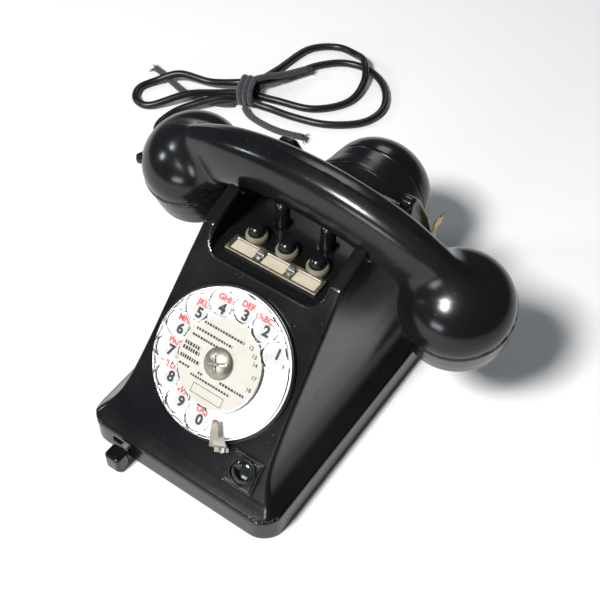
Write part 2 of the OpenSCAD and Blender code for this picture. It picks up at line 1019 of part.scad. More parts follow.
line_route = [
    [-46, 97, 8], [-47, 108, 3.6], [-59, 116, 2.6], [-95, 112, 2.6], [-135, 102, 2.6],
    [-168, 96, 2.6], [-187, 107, 2.6], [-188, 127, 2.8], [-176, 143, 6.5], [-166, 153, 8],
    [-155, 162, 5.6], [-138, 168, 3], [-118, 171, 2.6], [-95, 178, 2.6], [-76, 194, 2.6],
    [-72, 214, 2.6], [-83, 234, 2.6], [-102, 245, 2.6], [-122, 242, 2.6], [-137, 227, 2.6],
    [-146, 205, 3.4], [-152, 187, 7.6], [-164, 172, 10.6], [-186, 165, 5.4], [-207, 157, 8],
    [-220, 145, 3.4], [-225, 132.5, 2.6], [-218, 121.5, 3.0], [-206, 122.5, 3.1], [-189, 142, 8],
    [-174, 158, 5.8], [-157, 170, 5.2], [-138, 178, 3], [-112, 186, 2.6], [-96, 206, 2.8],
    [-97, 228, 5], [-107, 244.5, 8.6], [-121, 253.5, 4.2], [-138, 254, 2.6], [-153, 239, 2.6],
    [-157, 208, 2.8], [-160, 180, 5.2]];

tail_left_route = [
    [-160, 158, 2.6], [-168, 153, 2.4], [-180, 149, 2.4], [-194, 148, 2.4],
    [-208, 151, 2.4], [-220, 155, 2.4], [-230, 157, 2.4]];

tail_right_route = [
    [-151, 159, 2.8], [-144, 155, 2.4], [-133, 153, 2.4], [-121, 153, 2.4],
    [-110, 155, 2.4], [-101, 158, 2.4]];

tail_top_route = [
    [-154, 177, 15], [-150, 186, 13.4], [-146, 195, 10.5], [-142, 205, 8.4],
    [-137, 215, 7.6]];

module line_cord() {
    color("#1c1d20")
        tube(smooth(line_route, 2), cord_d, 8);
}

module tie_tail_left() {
    color("#26272a")
        tube(smooth(tail_left_route, 1), tie_d, 8);
}

module tie_tail_right() {
    color("#26272a")
        tube(smooth(tail_right_route, 1), tie_d, 8);
}

module tie_tail_top() {
    color("#26272a")
        tube(smooth(tail_top_route, 1), tie_d, 8);
}

// Turns of the tie round the bundle of strands
module tie_knot() {
    color("#26272a")
        translate(knot_pos)
            rotate([0, 0, knot_turn])
                for (x = [-5.4, 0.6])
                    translate([x, 0, 0])
                        rotate([90, 0, 90])
                            linear_extrude(4.8)
                                difference() {
                                    round_rect(-11.4, 0.2, 11.4, 16.4, 6);
                                    round_rect(-9, 2.2, 9, 14, 4);
                                }
}

housing();
base_plate();
rubber_feet();
base_screws();
dial_bezel();
number_plate();
dial_case();
finger_stop();
main_spring();
pulse_contacts();
label_frame();
label_cards();
small_screws();
button_collars();
switch_bracket();
button_switch();
hook_contacts();
button_spring_1();
button_spring_2();
button_spring_3();
indicator_plate();
indicator_ring();
indicator_lens();
indicator_case();
ringer_frame();
ringer_gongs();
ringer_coils();
induction_coil();
capacitor();
terminal_block();
hook_strip();
cord_gland();
line_cord();
tie_knot();
tie_tail_left();
tie_tail_right();
tie_tail_top();
finger_wheel();
centre_card();
centre_cap();
dial_shaft();
main_gear();
governor_pinion();
push_button_1();
push_button_2();
push_button_3();
hook_plungers();
lever_arm();
lever_knob();
indicator_flag();
ringer_hammer();
handset_shell();
receiver_cap();
transmitter_cap();
handset_capsules();
cord_boss();
earpiece_cap();
earpiece_band();
earpiece_shell();
earpiece_capsule();
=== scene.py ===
import json
import math
import random

import bmesh
import bpy
import numpy as np
from mathutils import Matrix, Vector


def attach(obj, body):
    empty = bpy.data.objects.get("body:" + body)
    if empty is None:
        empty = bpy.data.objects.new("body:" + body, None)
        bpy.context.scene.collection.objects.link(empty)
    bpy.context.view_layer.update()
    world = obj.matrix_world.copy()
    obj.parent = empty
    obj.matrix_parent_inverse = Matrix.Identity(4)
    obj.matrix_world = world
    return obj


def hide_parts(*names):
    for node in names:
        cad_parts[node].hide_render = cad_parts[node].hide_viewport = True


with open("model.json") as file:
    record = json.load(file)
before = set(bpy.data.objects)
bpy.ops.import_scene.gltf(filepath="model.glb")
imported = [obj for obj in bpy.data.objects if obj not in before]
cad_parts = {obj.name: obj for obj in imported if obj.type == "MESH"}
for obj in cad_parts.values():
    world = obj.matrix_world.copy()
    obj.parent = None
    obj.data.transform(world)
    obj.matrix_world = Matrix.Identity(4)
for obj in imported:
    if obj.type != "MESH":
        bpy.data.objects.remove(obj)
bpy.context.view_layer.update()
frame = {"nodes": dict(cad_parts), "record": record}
MM = 0.001
PHONE = "phone"

# ------------------------------------------------------------------ camera

CAMERA_AT = (0.20596, -0.29106, 0.48145)
AZ, EL, ROLL = (math.radians(a) for a in (34.35, 50.18, 0.92))
back = Vector((math.sin(AZ) * math.cos(EL), -math.cos(AZ) * math.cos(EL), math.sin(EL)))
side = Vector((math.cos(AZ), math.sin(AZ), 0))
rise = back.cross(side)
right = math.cos(ROLL) * side + math.sin(ROLL) * rise
up = -math.sin(ROLL) * side + math.cos(ROLL) * rise
cam = bpy.data.objects.new("camera", bpy.data.cameras.new("camera"))
cam.data.lens = 63.13
cam.data.sensor_width = 36
cam.data.clip_start = 0.01
turn = Matrix((right, up, back)).transposed().to_4x4()
cam.matrix_world = Matrix.Translation(CAMERA_AT) @ turn
bpy.context.scene.collection.objects.link(cam)
bpy.context.scene.camera = cam

# ------------------------------------------------------------ small helpers

TILT = math.radians(46.5)
FACE = Matrix.Translation((0, -100, 13.56)) @ Matrix.Rotation(TILT, 4, "X")
DIAL_S = 63.6
DIAL = FACE @ Matrix.Translation((0, DIAL_S, 0))
WINDOW = FACE @ Matrix.Translation((33.6, 20.6, 0))
HAND_AT = (0, 26.3, 85.1)
HAND_YAW, HAND_ROLL = math.radians(-1.8), math.radians(10)
HAND = (Matrix.Translation(HAND_AT) @ Matrix.Rotation(HAND_YAW, 4, "Z")
        @ Matrix.Rotation(HAND_ROLL, 4, "X"))
CUP_X = 84.4
CUP_ROLL, CUP_LEAN = 8, 5
EAR = Matrix.Translation((0, 68.6, 65.9)) @ Matrix.Rotation(math.radians(-86), 4, "X")


def cup(sign):
    lean = (Matrix.Rotation(math.radians(CUP_ROLL), 4, "X")
            @ Matrix.Rotation(math.radians(CUP_LEAN * sign), 4, "Y"))
    return HAND @ Matrix.Translation((sign * CUP_X, 0, 0)) @ lean


def place(verts, at):
    """Points in mm in a local frame, as metres in the shared frame."""
    return [tuple((at @ Vector(v)) * MM) for v in verts]


def piece(name, verts, faces, body=PHONE, at=Matrix(), smooth=True, angle=35):
    mesh = bpy.data.meshes.new(name)
    mesh.from_pydata(place(verts, at), [], faces)
    bm = bmesh.new()
    bm.from_mesh(mesh)
    bmesh.ops.recalc_face_normals(bm, faces=bm.faces)
    bm.to_mesh(mesh)
    bm.free()
    obj = bpy.data.objects.new(name, mesh)
    bpy.context.scene.collection.objects.link(obj)
    if smooth:
        mesh.shade_smooth()
        if angle < 180:
            mesh.set_sharp_from_angle(angle=math.radians(angle))
    if body:
        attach(obj, body)
    return obj


def lathe(profile, seg=128, closed=True):
    """Surface of revolution about z of (r, z) points; closed joins the ends."""
    verts, faces, rows = [], [], []
    for r, z in profile:
        if r < 1e-6:
            rows.append([len(verts)])
            verts.append((0, 0, z))
        else:
            rows.append(list(range(len(verts), len(verts) + seg)))
            for k in range(seg):
                a = 2 * math.pi * k / seg
                verts.append((r * math.cos(a), r * math.sin(a), z))
    pairs = list(zip(rows, rows[1:]))
    if closed and len(rows[0]) > 1 and len(rows[-1]) > 1:
        pairs.append((rows[-1], rows[0]))
    for a, b in pairs:
        for k in range(seg):
            q = [a[k % len(a)], a[(k + 1) % len(a)], b[(k + 1) % len(b)], b[k % len(b)]]
            q = list(dict.fromkeys(q))
            if len(q) > 2:
                faces.append(q)
    return verts, faces


def rounded(points, radii, steps=4):
    """Polygon outline with its corners rounded; a radius of 0 stays sharp."""
    out = []
    n = len(points)
    for i, (p, r) in enumerate(zip(points, radii)):
        p = Vector(p)
        a = Vector(points[i - 1]) - p
        b = Vector(points[(i + 1) % n]) - p
        if r <= 0 or a.length < 1e-6 or b.length < 1e-6:
            out.append(tuple(p))
            continue
        half = a.angle(b) / 2
        d = min(r / math.tan(half), 0.49 * a.length, 0.49 * b.length)
        r = d * math.tan(half)
        mid = p + (a.normalized() + b.normalized()).normalized() * (r / math.sin(half))
        s = (p + a.normalized() * d) - mid
        e = (p + b.normalized() * d) - mid
        total = s.angle_signed(e) if s.length > 1e-9 else 0
        for k in range(steps + 1):
            t = -total * k / steps
            c, w = math.cos(t), math.sin(t)
            out.append((mid.x + c * s.x - w * s.y, mid.y + w * s.x + c * s.y))
    return out


def rect(x0, y0, x1, y1, r=0.0, steps=5):
    return rounded([(x0, y0), (x1, y0), (x1, y1), (x0, y1)], [r] * 4, steps)


def prism(outline, z0, z1, bevel=0.0):
    """Closed slab of an outline (counter-clockwise) with a small edge bevel."""
    pts = [Vector(p) for p in outline]
    n = len(pts)
    inner = []
    for i in range(n):
        a = (pts[i] - pts[i - 1]).normalized()
        b = (pts[(i + 1) % n] - pts[i]).normalized()
        m = Vector((a.y + b.y, -a.x - b.x))
        m = m.normalized() if m.length > 1e-9 else Vector((a.y, -a.x))
        inner.append(pts[i] - m * bevel)
    b = bevel
    rows = [(inner, z0), (pts, z0 + b), (pts, z1 - b), (inner, z1)] if b else [(pts, z0), (pts, z1)]
    verts = [(p.x, p.y, z) for row, z in rows for p in row]
    faces = [list(range(n))[::-1], [len(verts) - n + k for k in range(n)]]
    for j in range(len(rows) - 1):
        for k in range(n):
            faces.append([j * n + k, j * n + (k + 1) % n, (j + 1) * n + (k + 1) % n, (j + 1) * n + k])
    return verts, faces


def merge(*parts):
    verts, faces = [], []
    for v, f in parts:
        base = len(verts)
        verts += list(v)
        faces += [[i + base for i in q] for q in f]
    return verts, faces


def moved(part, matrix):
    v, f = part
    return [tuple(matrix @ Vector(p)) for p in v], f


def smooth_route(points, n):
    """Catmull-Rom points between the given ones, as part.scad does."""
    p = [Vector(q) for q in points]
    out = []
    for i in range(len(p) - 1):
        a, b, c, d = p[max(i - 1, 0)], p[i], p[i + 1], p[min(i + 2, len(p) - 1)]
        for k in range(n):
            t = k / n
            out.append(0.5 * ((2 * b) + (c - a) * t + (2 * a - 5 * b + 4 * c - d) * t * t
                              + (3 * b - a - 3 * c + d) * t ** 3))
    out.append(p[-1])
    return out


def sweep(route, radius, seg=16, wobble=None):
    """Round tube along points, with closed ends."""
    n = len(route)
    verts, faces = [], []
    normal = None
    for i in range(n):
        d = (route[min(i + 1, n - 1)] - route[max(i - 1, 0)]).normalized()
        if normal is None:
            normal = Vector((0, 0, 1)).cross(d)
            if normal.length < 0.1:
                normal = Vector((1, 0, 0)).cross(d)
        normal = (normal - d * normal.dot(d)).normalized()
        other = d.cross(normal)
        for k in range(seg):
            a = 2 * math.pi * k / seg
            r = radius if wobble is None else radius * wobble(i, k)
            verts.append(tuple(route[i] + r * (math.cos(a) * normal + math.sin(a) * other)))
    for i in range(n - 1):
        for k in range(seg):
            faces.append([i * seg + k, i * seg + (k + 1) % seg,
                          (i + 1) * seg + (k + 1) % seg, (i + 1) * seg + k])
    faces.append(list(range(seg))[::-1])
    faces.append([(n - 1) * seg + k for k in range(seg)])
    return verts, faces


def resample(route, step):
    """Points at even spacing along a route."""
    route = [Vector(p) for p in route]
    out = [route[0]]
    left = step
    for a, b in zip(route, route[1:]):
        length = (b - a).length
        done = 0.0
        while length - done >= left:
            done += left
            out.append(a.lerp(b, done / length))
            left = step
        left -= length - done
    if (out[-1] - route[-1]).length > step * 0.3:
        out.append(route[-1])
    return out


# ------------------------------------------------------------------- cords

LINE = [
    (-46, 97, 8), (-47, 108, 3.6), (-59, 116, 2.6), (-95, 112, 2.6), (-135, 102, 2.6),
    (-168, 96, 2.6), (-187, 107, 2.6), (-188, 127, 2.8), (-176, 143, 6.5), (-166, 153, 8),
    (-155, 162, 5.6), (-138, 168, 3), (-118, 171, 2.6), (-95, 178, 2.6), (-76, 194, 2.6),
    (-72, 214, 2.6), (-83, 234, 2.6), (-102, 245, 2.6), (-122, 242, 2.6), (-137, 227, 2.6),
    (-146, 205, 3.4), (-152, 187, 7.6), (-164, 172, 10.6), (-186, 165, 5.4), (-207, 157, 8),
    (-220, 145, 3.4), (-225, 132.5, 2.6), (-218, 121.5, 3.0), (-206, 122.5, 3.1), (-189, 142, 8),
    (-174, 158, 5.8), (-157, 170, 5.2), (-138, 178, 3), (-112, 186, 2.6), (-96, 206, 2.8),
    (-97, 228, 5), (-107, 244.5, 8.6), (-121, 253.5, 4.2), (-138, 254, 2.6), (-153, 239, 2.6),
    (-157, 208, 2.8), (-160, 180, 5.2)]
TAIL_LEFT = [
    (-160, 158, 2.6), (-168, 153, 2.4), (-180, 149, 2.4), (-194, 148, 2.4),
    (-208, 151, 2.4), (-220, 155, 2.4), (-230, 157, 2.4)]
TAIL_RIGHT = [
    (-151, 159, 2.8), (-144, 155, 2.4), (-133, 153, 2.4), (-121, 153, 2.4),
    (-110, 155, 2.4), (-101, 158, 2.4)]
TAIL_TOP = [
    (-154, 177, 15), (-150, 186, 13.4), (-146, 195, 10.5), (-142, 205, 8.4),
    (-137, 215, 7.6)]

line_path = resample(smooth_route(LINE, 12), 2.0)
line_cord = piece("line_cord_skin", *sweep(line_path, 2.5, 20), angle=180)
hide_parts("line_cord")


def braid(name, points, radius, seed):
    """Tube of crossing yarns: a low relief of two opposed spirals."""
    path = resample(smooth_route(points, 10), 0.45)

    def relief(i, k):
        a = 2 * math.pi * k / 24
        s = i * 0.45
        u = math.sin(5 * a + s * 2.1)
        v = math.sin(5 * a - s * 2.1)
        return 1 + 0.055 * max(u, v)

    verts, faces = sweep(path, radius, 24, relief)
    rnd = random.Random(seed)
    parts = []
    end = path[-1]
    along = (path[-1] - path[-4]).normalized()
    across = along.cross(Vector((0, 0, 1))).normalized()
    for _ in range(26):
        a = rnd.uniform(0, 2 * math.pi)
        r = radius * math.sqrt(rnd.random()) * 0.8
        p = end - along * 1.5 + across * r * math.cos(a) + Vector((0, 0, 1)) * r * math.sin(a)
        d = (along + across * rnd.uniform(-0.7, 0.7) + Vector((0, 0, rnd.uniform(-0.3, 0.35)))).normalized()
        fibre = [p]
        for _ in range(6):
            d = (d + across * rnd.uniform(-0.3, 0.3) + Vector((0, 0, rnd.uniform(-0.3, 0.1)))).normalized()
            q = fibre[-1] + d * rnd.uniform(0.8, 1.3)
            q.z = max(q.z, 0.4)
            fibre.append(q)
        parts.append(sweep(fibre, 0.17, 5))
    fray = piece(name + "_fray", *merge(*parts), angle=180)
    return piece(name, verts, faces, angle=180), path, fray


tails = {}
for key, pts, seed in (("left", TAIL_LEFT, 1), ("right", TAIL_RIGHT, 2), ("top", TAIL_TOP, 3)):
    tails[key] = braid("tie_" + key, pts, 2.2, seed)
    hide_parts("tie_tail_" + key)

KNOT_RISE, KNOT_HEIGHT, KNOT_WIDTH = 2.4, 0.74, 0.86
knot_outline = rect(-11.4, 0.2, 11.4, 16.4, 6)
KNOT = Matrix.Translation((-156, 170, 0)) @ Matrix.Rotation(math.radians(22), 4, "Z")
knot_parts = []
for x0 in (-5.2, -1.4, 2.4):
    loop = [KNOT @ Vector((x0 + 1.6 + 0.9 * math.sin(6.28 * i / len(knot_outline)),
                           p[0] * KNOT_WIDTH, KNOT_RISE + p[1] * KNOT_HEIGHT))
            for i, p in enumerate(knot_outline)]
    loop = resample(loop + loop[:2], 0.6)
    knot_parts.append(sweep(loop, 1.9, 16, lambda i, k: 1 + 0.06 * max(
        math.sin(6.28 * 4 * k / 16 + 1.3 * i), math.sin(6.28 * 4 * k / 16 - 1.3 * i))))
tie_knot = piece("tie_knot_turns", *merge(*knot_parts), angle=180)
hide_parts("tie_knot")

# ------------------------------------------------- solids from distances


def smin(a, b, r):
    """Union of two distances with a round fillet of radius r."""
    return np.maximum(r, np.minimum(a, b)) - np.hypot(np.maximum(r - a, 0), np.maximum(r - b, 0))


def smax(a, b, r):
    """Intersection of two distances with a round edge of radius r."""
    return np.minimum(-r, np.maximum(a, b)) + np.hypot(np.maximum(a + r, 0), np.maximum(b + r, 0))


def table(outline, step=0.4, pad=6.0):
    """Signed distance to a closed outline, as a bilinear look-up."""
    p = np.array(outline, float)
    q = np.roll(p, -1, axis=0)
    lo = p.min(0) - pad
    size = np.ceil((p.max(0) + pad - lo) / step).astype(int) + 1
    u = lo[0] + step * np.arange(size[0])[:, None]
    v = lo[1] + step * np.arange(size[1])[None, :]
    best = np.full(size, 1e9)
    inside = np.zeros(size, bool)
    for a, b in zip(p, q):
        e = b - a
        ee = max(float(e @ e), 1e-12)
        t = np.clip(((u - a[0]) * e[0] + (v - a[1]) * e[1]) / ee, 0, 1)
        best = np.minimum(best, (u - a[0] - t * e[0]) ** 2 + (v - a[1] - t * e[1]) ** 2)
        if a[1] != b[1]:
            crosses = (a[1] > v) != (b[1] > v)
            inside ^= crosses & (u < a[0] + (v - a[1]) * e[0] / e[1])
    dist = np.sqrt(best) * np.where(inside, -1, 1)

    def look(x, y):
        i = np.clip((x - lo[0]) / step, 0, size[0] - 1.001)
        j = np.clip((y - lo[1]) / step, 0, size[1] - 1.001)
        far = np.hypot(x - lo[0] - i * step, y - lo[1] - j * step)
        i, j = np.broadcast_arrays(i, j)
        i0, j0 = i.astype(int), j.astype(int)
        f, g = i - i0, j - j0
        d = (dist[i0, j0] * (1 - f) * (1 - g) + dist[i0 + 1, j0] * f * (1 - g)
             + dist[i0, j0 + 1] * (1 - f) * g + dist[i0 + 1, j0 + 1] * f * g)
        return d + far
    return look


def curve(points, step=0.4):
    """Smooth open curve through 2D points, as a dense list."""
    route = smooth_route([(x, y, 0) for x, y in points], 12)
    return [(p.x, p.y) for p in resample(route, step)]


def solid(name, field, lo, hi, step, body, at=Matrix(), angle=40):
    """Mesh of a distance field's zero surface, its points moved onto it."""
    lo = np.array(lo, float)
    n = np.ceil((np.array(hi, float) - lo) / step).astype(int) + 1
    x, y, z = (lo[k] + step * np.arange(n[k]) for k in range(3))
    rows = []
    for s in range(0, n[0], 24):
        rows.append(field(x[s:s + 24, None, None], y[None, :, None], z[None, None, :]) < 0)
    inside = np.concatenate([np.broadcast_to(r, (r.shape[0], n[1], n[2])) for r in rows])
    count = sum(inside[a:n[0] - 1 + a, b:n[1] - 1 + b, c:n[2] - 1 + c].astype(np.int8)
                for a in (0, 1) for b in (0, 1) for c in (0, 1))
    active = (count > 0) & (count < 8)
    index = np.full(active.shape, -1)
    index[active] = np.arange(active.sum())
    p = (np.argwhere(active) + 0.5) * step + lo
    for _ in range(5):
        f = field(p[:, 0], p[:, 1], p[:, 2])
        g = np.empty_like(p)
        for k in range(3):
            e = np.zeros(3)
            e[k] = 0.15
            a, b = p + e, p - e
            g[:, k] = (field(a[:, 0], a[:, 1], a[:, 2]) - field(b[:, 0], b[:, 1], b[:, 2])) / 0.3
        move = (f / np.maximum((g * g).sum(1), 0.05))[:, None] * g
        length = np.linalg.norm(move, axis=1, keepdims=True)
        p -= move * np.minimum(1, 0.6 * step / np.maximum(length, 1e-9))
    quads = []
    for k in range(3):
        a = [slice(1, n[m] - 1) for m in range(3)]
        b = list(a)
        a[k], b[k] = slice(0, n[k] - 1), slice(1, n[k])
        s0, s1 = inside[tuple(a)], inside[tuple(b)]
        at_edge = np.argwhere(s0 != s1)
        flip = s0[s0 != s1]
        m1, m2 = (k + 1) % 3, (k + 2) % 3
        base = at_edge.copy()
        corners = []
        for d1, d2 in ((0, 0), (1, 0), (1, 1), (0, 1)):
            c = base.copy()
            c[:, m1] += d1
            c[:, m2] += d2
            corners.append(index[c[:, 0], c[:, 1], c[:, 2]])
        q = np.stack(corners, 1)
        q[~flip] = q[~flip][:, ::-1]
        quads.append(q)
    quads = np.concatenate(quads)
    quads = quads[(quads >= 0).all(1)]
    spin = np.array(at)[:3, :3]
    p = (p @ spin.T + np.array(at)[:3, 3]) * MM
    mesh = bpy.data.meshes.new(name)
    mesh.vertices.add(len(p))
    mesh.vertices.foreach_set("co", p.ravel())
    mesh.loops.add(quads.size)
    mesh.loops.foreach_set("vertex_index", quads.ravel())
    mesh.polygons.add(len(quads))
    mesh.polygons.foreach_set("loop_start", np.arange(0, quads.size, 4))
    mesh.update(calc_edges=True)
    mesh.validate()
    mesh.shade_smooth()
    if angle < 180:
        mesh.set_sharp_from_angle(angle=math.radians(angle))
    obj = bpy.data.objects.new(name, mesh)
    bpy.context.scene.collection.objects.link(obj)
    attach(obj, body)
    return obj


# ----------------------------------------------------------------- housing

TAN = math.tan(TILT)


def face_at(y):
    return 13.56 + (y + 100) * TAN


side_view = (
    [(-101, 0.3), (-100.4, 15.3), (-99.9, 16.3)]
    + curve([(-99.2, 16.7), (-98, 17.5), (-96.4, 18.6), (-94.4, 20.1), (-92.3, face_at(-92.3))])
    + [(-15.3, face_at(-15.3))]
    + [(6.2, 111.8)]
    + curve([(7.8, 107), (9.1, 104.6), (11.4, 102.6), (15, 101.6)])
    + curve([(42, 101.6), (44.6, 102.6), (46.2, 105), (47, 109.2)])
    + curve([(47.6, 110.2), (50, 110.9), (53, 109.8), (57, 105.5), (61, 98), (66.5, 87.8),
             (71, 74.5), (75, 61), (78, 49), (80.5, 38.5), (83.2, 31), (86.4, 24.6), (89.4, 20),
             (91.6, 17.6), (92.6, 16.4)])
    + [(93.3, 15.3), (94, 0.3)])
half = (
    [(60, 0.3), (59.3, 15.1), (58.8, 16.0)]
    + curve([(58.6, 16.2), (56.8, 18.0), (54.4, 20.6), (51.6, 23.8), (49.2, 27.4),
             (47.4, 31.4), (46.2, 36.2), (45.4, 42), (44.6, 50), (43.9, 62), (43.2, 75),
             (42.4, 90), (41.7, 103), (41.3, 118)])[1:])
end_view = half + [(-x, z) for x, z in reversed(half)]
outline_side = table(side_view)
outline_end = table(end_view)
outline_plan = table(rect(-60, -101, 60, 94, 14, 12))
inner_side = table([(-97.4, -6), (-97.4, 12), (-22.2, 89), (47, 89),
                    (47, 21), (84, 21), (90.6, 11), (90.6, -6)])
inner_half = [(56.6, -6), (56.4, 10.8), (50.4, 18.5), (45, 27), (42.4, 36), (41.4, 50), (38.6, 96)]
inner_end = table(inner_half + [(-x, z) for x, z in reversed(inner_half)])
SIN, COS = math.sin(TILT), math.cos(TILT)


def over_face(y, z):
    """Distance up the face (s) and off it (h)."""
    return (y + 100) * COS + (z - 13.56) * SIN, -(y + 100) * SIN + (z - 13.56) * COS


def box2(u, v, u0, v0, u1, v1, r):
    a = np.abs(u - (u0 + u1) / 2) - (u1 - u0) / 2 + r
    b = np.abs(v - (v0 + v1) / 2) - (v1 - v0) / 2 + r
    return np.hypot(np.maximum(a, 0), np.maximum(b, 0)) + np.minimum(np.maximum(a, b), 0) - r


def housing_field(x, y, z):
    s, h = over_face(y, z)
    d = smax(outline_side(y, z), outline_end(x, z), 1.6)
    d = smax(d, outline_plan(x, y) + 0 * z, 1.2)
    # fine crease between the flange and the upper moulding
    rim = np.maximum(outline_plan(x, y), outline_end(x, 15 + 0 * z))
    d = np.maximum(d, 0.6 - np.hypot(rim + 0.5, z - 16.0))
    recess = smax(box2(x, y, -34.2, -24.3, 34.2, 46.2, 8), 92 - z, 1.2)
    d = smax(d, -recess, 1.4)
    d = smax(d, -np.maximum(box2(x, y, -34.4, 44, 34.4, 62, 1), 105.5 - z), 0.8)
    niche = smax(box2(x, y, -34.4, 50, 34.4, 140, 3), 24 - z, 1.5)
    d = smax(d, -niche, 1.0)
    d = smax(d, -np.maximum(np.hypot(x, s - DIAL_S) - 38.05, -12 - h), 0.5)
    d = np.maximum(d, -np.maximum(np.hypot(x - 33.6, s - 20.6) - 8.3, -12 - h))
    for i in (-1, 0, 1):
        d = np.maximum(d, -np.maximum(np.hypot(x - 18.6 * i, y + 1.8) - 5.3, np.abs(z - 90) - 5))
    for i in (-14, 14):
        d = np.maximum(d, -np.maximum(np.hypot(x - i, y - 14) - 4.3, np.abs(z - 90) - 5))
    slot = np.maximum(box2(x, z, -41.6, 7.2, -29.6, 11.9, 0.6), y + 94)
    d = smax(d, -slot, 0.4)
    inner = np.maximum(np.maximum(inner_side(y, z), inner_end(x, z)),
                       box2(x, y, -56.6, -97.4, 56.6, 90.6, 11) + 0 * z)
    return np.maximum(d, -inner)


housing = solid("housing_moulding", housing_field, (-62, -103, -1.2), (62, 96, 115), 1.1, PHONE)
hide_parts("housing")

# ----------------------------------------------------------------- handset

section = [(6.5, -3.0), (10.2, -8.5), (12.4, -15.5), (13.5, -23),
           (13.2, -28), (10.8, -32), (6.5, -33.7), (0, -34)]
section = [(0, 0)] + curve([(0, 0)] + section)[1:-1]
section_table = table(section + [(-u, v) for u, v in reversed(section[1:])], 0.3)


def handle_top(x):
    return -24.5 + 77.7 * np.sqrt(np.maximum(1 - (x / 117.6) ** 2, 0.02))


def handle_low(x):
    return np.maximum(2.0, 25.1 - 0.0035 * x * x - 3.6e-7 * x ** 4)


def handle_half(x):
    return 13.5 - 0.0029 * np.maximum(np.abs(x) - 50, 0) ** 2


cup_line = ([(0, 0), (29.1, 0)] + [(29.4, 0.4), (29.4, 1.6), (29.0, 2.2), (28.5, 2.6)]
            + [(28.6 * math.cos(a), 3.2 + 22.2 * math.sin(a)) for a in np.linspace(0.04, math.pi / 2, 60)])
cup_table = table(cup_line + [(-r, z) for r, z in reversed(cup_line[1:])], 0.3)
bore_line = ([(0, -4), (25.9, -4), (25.9, 3.8)]
             + [(25.9 * math.cos(a), 4 + 17.4 * math.sin(a)) for a in np.linspace(0.04, math.pi / 2, 30)])
bore_table = table(bore_line + [(-r, z) for r, z in reversed(bore_line[1:])], 0.5)


def in_cup(x, y, z, sign):
    """Handset coordinates as radius and height in a cup's own frame."""
    m = np.array(HAND.inverted() @ cup(sign))
    u, v, w = x - m[0, 3], y - m[1, 3], z - m[2, 3]
    a, b, c = (m[0, k] * u + m[1, k] * v + m[2, k] * w for k in range(3))
    return np.hypot(a, b), c


def shell_field(x, y, z):
    t, low, w = handle_top(x), handle_low(x), handle_half(x)
    low = np.minimum(low, t - 12)
    scale = (t - low) / 34
    arm = section_table(y * 13.5 / w, (z - t) / scale) * np.minimum(scale, w / 13.5)
    arm = smax(arm, np.abs(x) - 103, 3)
    d, hollow = arm, None
    for sign in (-1, 1):
        rho, v = in_cup(x, y, z, sign)
        d = smin(d, cup_table(rho, v), 6)
        b = bore_table(rho, v)
        hollow = b if hollow is None else np.minimum(hollow, b)
        d = np.maximum(d, np.where(rho < 31.5, -v, d))
    return np.maximum(d, -hollow)


shell = solid("handset_moulding", shell_field, (-116, -34, -10), (116, 34, 58), 1.0, "handset", HAND)
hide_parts("handset_shell")

# ------------------------------------------------------- cups and earpiece


def skin(name, points, radii, body, at, steps=5, seg=128, node=None, angle=50):
    verts, faces = lathe(rounded(points, radii, steps), seg)
    obj = piece(name, verts, faces, body, at, angle=angle)
    if node:
        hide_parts(node)
    return obj


def cap_field(x, y, z):
    r = np.hypot(x, y)
    body = cap_table(r, z)
    for k in range(holes):
        a = 2 * math.pi * k / holes
        body = np.maximum(body, 1.5 - np.hypot(x - 8 * math.cos(a), y - 8 * math.sin(a)))
    return np.maximum(body, 1.5 - r)


cap_line = rounded(
    [(0, -18.4), (13, -19), (19.5, -21.1), (22, -21.5), (28.2, -19.4), (28.8, -9), (28.9, -0.1),
     (25.6, -0.1), (25.6, 3.4), (24.2, 3.4), (24.2, -16.2), (0, -15.8)],
    [0, 8, 2, 2, 4, 8, 0.5, 0, 0.3, 0.3, 0.6, 0], 6)
cap_table = table(cap_line + [(-r, z) for r, z in reversed(cap_line)], 0.25)
cup_caps = []
for sign, cad_name, holes in ((1, "receiver_cap", 6), (-1, "transmitter_cap", 8)):
    cap = solid(cad_name + "_moulding", cap_field, (-30, -30, -23), (30, 30, 5), 0.8, "handset", cup(sign))
    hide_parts(cad_name)
    cup_caps.append(cap)

ear_cap = skin(
    "earpiece_cap_moulding",
    [(0, -14), (12, -14.5), (19, -16), (22, -16.3), (27.4, -14.4), (31.2, -8.4), (33.0, -2.6), (33.2, -0.25),
     (27, -0.1), (27, -9), (0, -10)],
    [0, 3, 2, 3, 5, 6, 1.2, 0.5, 0, 0, 0], "earpiece", EAR, 6, node="earpiece_cap")
ear_band = skin(
    "earpiece_band_moulding",
    [(27.5, 0.02), (32.9, 0.05), (33.2, 0.9), (33.0, 2.6), (31.6, 9), (31.1, 15.6),
     (30.9, 16.05), (27.5, 16.05)],
    [0, 0.4, 0.8, 1.5, 8, 0.5, 0.1, 0], "earpiece", EAR, 6, node="earpiece_band")
dome = [(27.2, 16.15), (30.4, 16.2), (30.8, 16.8), (30.7, 18.2)]
dome += [(30.5 * math.cos(a), 18.2 + 25.3 * math.sin(a)) for a in np.linspace(0.06, math.pi / 2, 48)]
dome += [(0, 40.6)] + [(27.2 * math.cos(a), 17.2 + 22.4 * math.sin(a)) for a in np.linspace(1.5, 0.0, 20)]
ear_shell = piece("earpiece_shell_moulding", *lathe(dome, 144), "earpiece", EAR, angle=60)
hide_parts("earpiece_shell")

# -------------------------------------------------------------------- dial

bezel = skin("dial_bezel_ring", [(38.35, 0.05), (40.1, 0.05), (40.1, 2.3), (38.35, 2.3)],
             [0, 0, 1.0, 0.6], PHONE, DIAL, 6, 160, "dial_bezel")
HOLES = [(30.4 * math.cos(math.radians(34.5 + 26.3 * i)), 30.4 * math.sin(math.radians(34.5 + 26.3 * i)))
         for i in range(10)]


